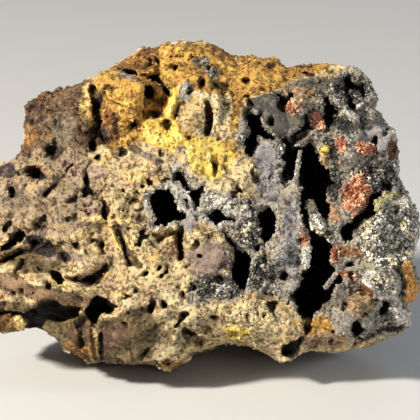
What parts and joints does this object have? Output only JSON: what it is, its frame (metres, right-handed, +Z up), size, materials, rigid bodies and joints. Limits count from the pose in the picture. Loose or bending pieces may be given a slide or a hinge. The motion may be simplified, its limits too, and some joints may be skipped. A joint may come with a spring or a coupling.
{
  "type": "beudantite and carminite specimen",
  "caption": "Hand specimen of vuggy yellow-brown gossan with dark beudantite crystal crusts in its hollows and brick-red carminite clusters on their rims, standing on its flat base.",
  "frame": {"origin": "middle of the bottom of the bounding box, on the surface that the stone stands on", "axes": "+Z up, +X along the stone's width to the viewer's right, +Y into the stone, so the crystal-covered broken face looks towards -Y"},
  "size_m": [0.0516, 0.0306, 0.0368],
  "materials": {
    "gossan": "rough porous limonite rock, ochre yellow to tan, grey on the right",
    "beudantite": "tiny dark brown to olive-black crystals with glassy faces",
    "carminite": "brick-red sprays of fine crystals"
  },
  "bodies": {
    "root": {"matrix": "gossan", "crust_cleft_upper": "beudantite", "crust_cleft_lower": "beudantite", "crust_window": "beudantite", "crust_upper_pair": "beudantite", "crust_behind_facet": "beudantite", "crust_centre_right": "beudantite", "crust_centre_bottom": "beudantite", "carminite_main": "carminite", "carminite_upper_left": "carminite", "carminite_upper": "carminite", "carminite_middle_left": "carminite", "carminite_middle_right": "carminite", "carminite_wall": "carminite", "carminite_lower": "carminite", "carminite_foot": "carminite"}
  },
  "joints": []
}
